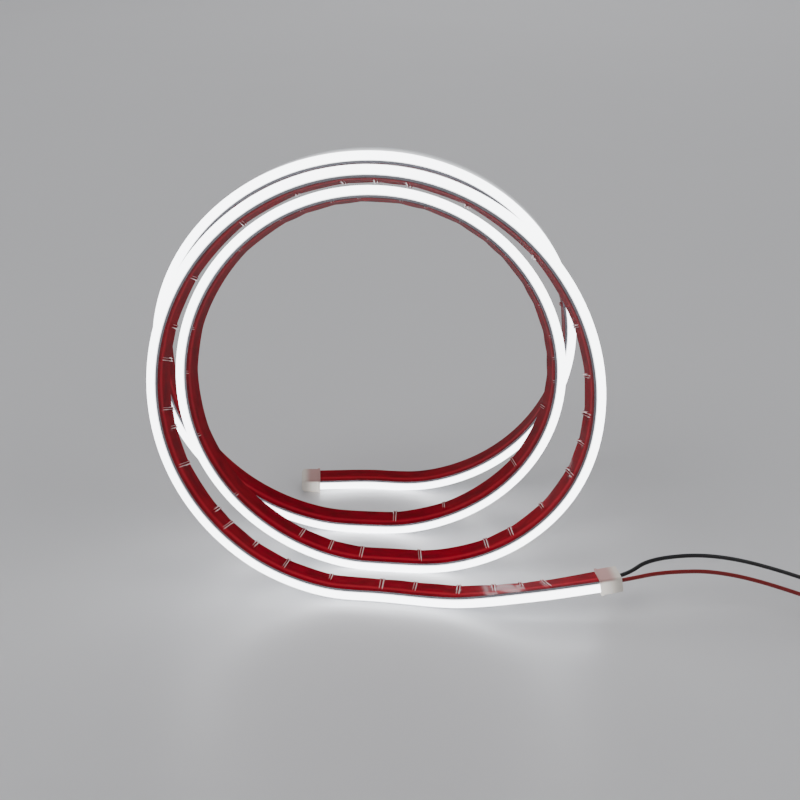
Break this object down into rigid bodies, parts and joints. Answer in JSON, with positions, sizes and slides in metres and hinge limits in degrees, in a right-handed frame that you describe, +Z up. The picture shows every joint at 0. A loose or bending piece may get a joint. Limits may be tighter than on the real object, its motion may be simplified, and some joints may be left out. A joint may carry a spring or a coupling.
{
  "type": "daytime running light strip",
  "caption": "Flexible silicone daytime running light strip with a glowing edge, tape and liner on its inner face and supply leads, wound into a loose standing coil.",
  "frame": {"origin": "on the floor under the middle of the coil's footprint, leads left out", "axes": "+X to the right in the picture, the way the leads go; +Y away from the viewer, along the coil's axis; +Z up"},
  "size_m": [0.3436, 0.1261, 0.1812],
  "materials": {
    "sleeve": "milky translucent silicone, lit from inside",
    "tape": "matt foam",
    "liner": "glossy creased film",
    "cap": "translucent moulded silicone",
    "seal": "cast silicone sealant",
    "circuit": "white solder mask",
    "led": "moulded package with phosphor window",
    "resistor": "ceramic chip",
    "solder": "bright solder",
    "black_wire": "smooth insulation",
    "red_wire": "smooth insulation",
    "tinned": "tinned strands"
  },
  "bodies": {
    "root": {"silicone_sleeve": "sleeve", "foam_tape": "tape", "release_liner": "liner", "flex_circuit": "circuit", "side_leds": "led", "chip_resistors": "resistor", "solder_joints": "solder", "lead_end_seal": "seal", "blind_end_seal": "seal", "lead_end_cap": "cap", "blind_end_cap": "cap", "black_lead": "black_wire", "red_lead": "red_wire", "lead_tips": "tinned"}
  },
  "joints": []
}
